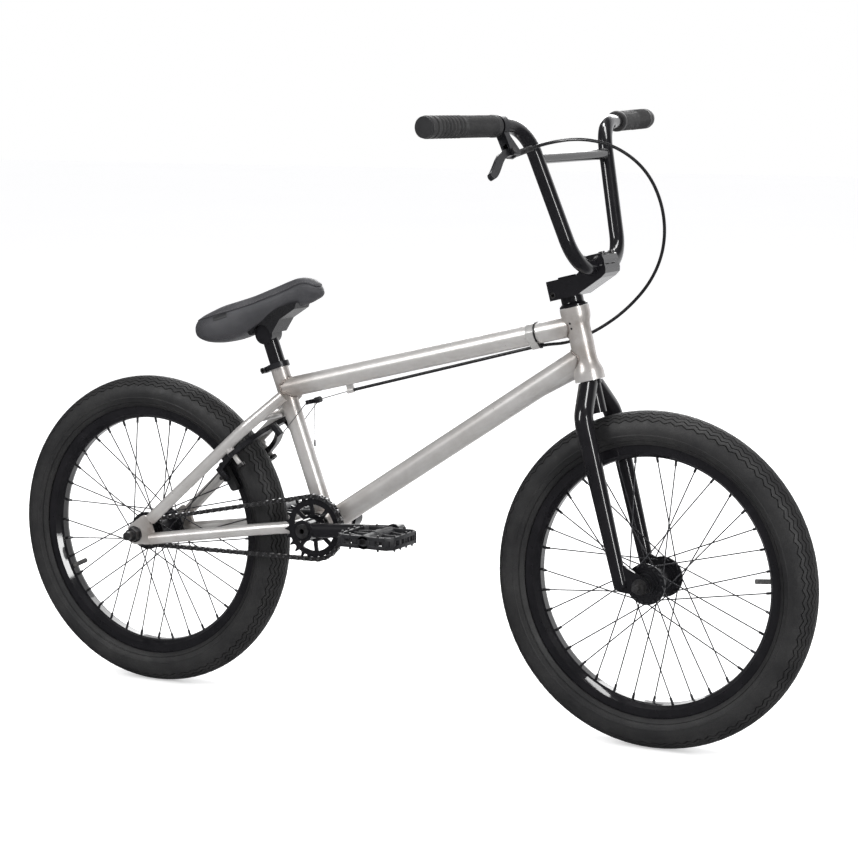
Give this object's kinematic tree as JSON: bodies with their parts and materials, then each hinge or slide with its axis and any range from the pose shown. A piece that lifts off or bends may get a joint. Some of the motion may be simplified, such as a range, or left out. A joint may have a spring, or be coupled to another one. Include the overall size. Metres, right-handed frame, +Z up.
{
  "type": "bmx bike",
  "caption": "Freestyle bicycle with small wide wheels, high handlebar with crossbar, single-speed chain drive and a rear rim brake.",
  "frame": {"origin": "on the ground, midway between the two axles, in the plane of the wheels", "axes": "+X forward towards the front wheel, +Y to the rider's left, +Z up; the chain is on the right, -Y"},
  "size_m": [1.408, 0.754, 0.9462],
  "materials": {
    "raw_frame": "raw steel under a satin clear coat",
    "gloss_black": "gloss",
    "satin_black_alloy": "satin black anodised",
    "dark_steel": "dark oiled steel",
    "spoke_steel": "dark satin",
    "wire_steel": "bright drawn wire",
    "tyre_rubber": "matte moulded",
    "tube_rubber": "matte",
    "grip_rubber": "soft matte",
    "cap_plastic": "matte",
    "pedal_plastic": "moulded grain",
    "seat_leatherette": "grained, stitched",
    "housing_plastic": "smooth black"
  },
  "bodies": {
    "frame": {"head_tube": "raw_frame", "top_tube": "raw_frame", "down_tube": "raw_frame", "seat_tube": "raw_frame", "bottom_bracket_shell": "raw_frame", "chain_stays": "raw_frame", "seat_stays": "raw_frame", "dropouts": "raw_frame", "frame_fittings": "raw_frame", "headset_bearings": "dark_steel", "bottom_bracket_bearings": "dark_steel", "rear_axle": "dark_steel", "seat_clamp": "gloss_black", "frame_bolts": "dark_steel", "brake_cable_rear": "housing_plastic", "chain": "dark_steel"},
    "steering": {"fork_steerer": "gloss_black", "fork_legs": "gloss_black", "headset_cap": "gloss_black", "stem_body": "gloss_black", "stem_cap": "gloss_black", "stem_bolts": "dark_steel", "handlebar": "gloss_black", "grips": "grip_rubber", "bar_end_plugs": "cap_plastic", "lever_bracket": "gloss_black", "lever_hardware": "dark_steel", "brake_cable_loop": "housing_plastic", "front_axle": "dark_steel"},
    "brake_lever": {"brake_lever_blade": "gloss_black"},
    "front_wheel": {"front_tyre": "tyre_rubber", "front_inner_tube": "tube_rubber", "front_rim": "satin_black_alloy", "front_spokes": "spoke_steel", "front_hub_shell": "satin_black_alloy", "front_hub_bearings": "dark_steel"},
    "rear_wheel": {"rear_tyre": "tyre_rubber", "rear_inner_tube": "tube_rubber", "rear_rim": "satin_black_alloy", "rear_spokes": "spoke_steel", "rear_hub_shell": "satin_black_alloy", "rear_hub_bearings": "dark_steel"},
    "driver": {"driver_cog": "dark_steel"},
    "crank": {"crank_spindle": "gloss_black", "crank_arms": "gloss_black", "sprocket": "gloss_black", "crank_bolts": "dark_steel", "pedal_spindles": "dark_steel"},
    "right_pedal": {"right_pedal": "pedal_plastic"},
    "left_pedal": {"left_pedal": "pedal_plastic"},
    "seat_post": {"seat_post": "gloss_black"},
    "seat": {"seat_cover": "seat_leatherette", "seat_base": "cap_plastic", "seat_bolt": "dark_steel"},
    "right_brake": {"right_brake_arm": "gloss_black", "right_brake_pad": "tube_rubber"},
    "left_brake": {"left_brake_arm": "gloss_black", "left_brake_pad": "tube_rubber"},
    "yoke": {"cable_yoke": "wire_steel", "straddle_wires": "wire_steel"}
  },
  "joints": [
    {"name": "steering_turn", "type": "hinge", "parent": "frame", "child": "steering", "pos_m": [0.41677, 0, 0.255], "axis": [-0.2504, 0, 0.9681], "range_deg": [-80, 80], "deforming": ["brake_cable_loop"]},
    {"name": "front_wheel_spin", "type": "hinge", "parent": "steering", "child": "front_wheel", "pos_m": [0.449, 0, 0.255], "axis": [0, 1, 0], "continuous": true},
    {"name": "rear_wheel_spin", "type": "hinge", "parent": "frame", "child": "rear_wheel", "pos_m": [-0.449, 0, 0.255], "axis": [0, 1, 0], "continuous": true},
    {"name": "crank_spin", "type": "hinge", "parent": "frame", "child": "crank", "pos_m": [-0.11608, 0, 0.292], "axis": [0, 1, 0], "continuous": true, "deforming": ["chain"]},
    {"name": "driver_spin", "type": "hinge", "parent": "frame", "child": "driver", "pos_m": [-0.449, 0, 0.255], "axis": [0, 1, 0], "continuous": true},
    {"name": "right_pedal_spin", "type": "hinge", "parent": "crank", "child": "right_pedal", "pos_m": [0.05327, -0.0955, 0.30682], "axis": [0, 1, 0], "continuous": true},
    {"name": "left_pedal_spin", "type": "hinge", "parent": "crank", "child": "left_pedal", "pos_m": [-0.28544, 0.0955, 0.27718], "axis": [0, 1, 0], "continuous": true},
    {"name": "brake_lever_pull", "type": "hinge", "parent": "steering", "child": "brake_lever", "pos_m": [0.30597, -0.20275, 0.89179], "axis": [-0.8686, 0.1169, -0.4815], "range_deg": [0, 25], "stiffness_Nm_per_rad": 0.6},
    {"name": "right_brake_swing", "type": "hinge", "parent": "frame", "child": "right_brake", "pos_m": [-0.27647, -0.04755, 0.41213], "axis": [0.6742, 0, -0.7385], "range_deg": [0, 5.1]},
    {"name": "left_brake_swing", "type": "hinge", "parent": "frame", "child": "left_brake", "pos_m": [-0.27647, 0.04755, 0.41213], "axis": [-0.6742, 0, 0.7385], "range_deg": [0, 5.1]},
    {"name": "yoke_pull", "type": "slide", "parent": "frame", "child": "yoke", "axis": [0.9546, 0, 0.2978], "range_m": [0, 0.0101], "deforming": ["straddle_wires"]},
    {"name": "seat_post_height", "type": "slide", "parent": "frame", "child": "seat_post", "axis": [-0.3437, 0, 0.9391], "range_m": [-0.03, 0.06]},
    {"name": "seat_tilt", "type": "hinge", "parent": "seat_post", "child": "seat", "pos_m": [-0.22537, 0, 0.59063], "axis": [0, 1, 0], "range_deg": [-12, 12]}
  ],
  "couplings": [
    {"joint": "driver_spin", "follows": "crank_spin", "ratio": 2.7778},
    {"joint": "right_brake_swing", "follows": "brake_lever_pull", "ratio": 0.2},
    {"joint": "left_brake_swing", "follows": "brake_lever_pull", "ratio": 0.2},
    {"joint": "yoke_pull", "follows": "brake_lever_pull", "m_per_rad": 0.0229}
  ]
}
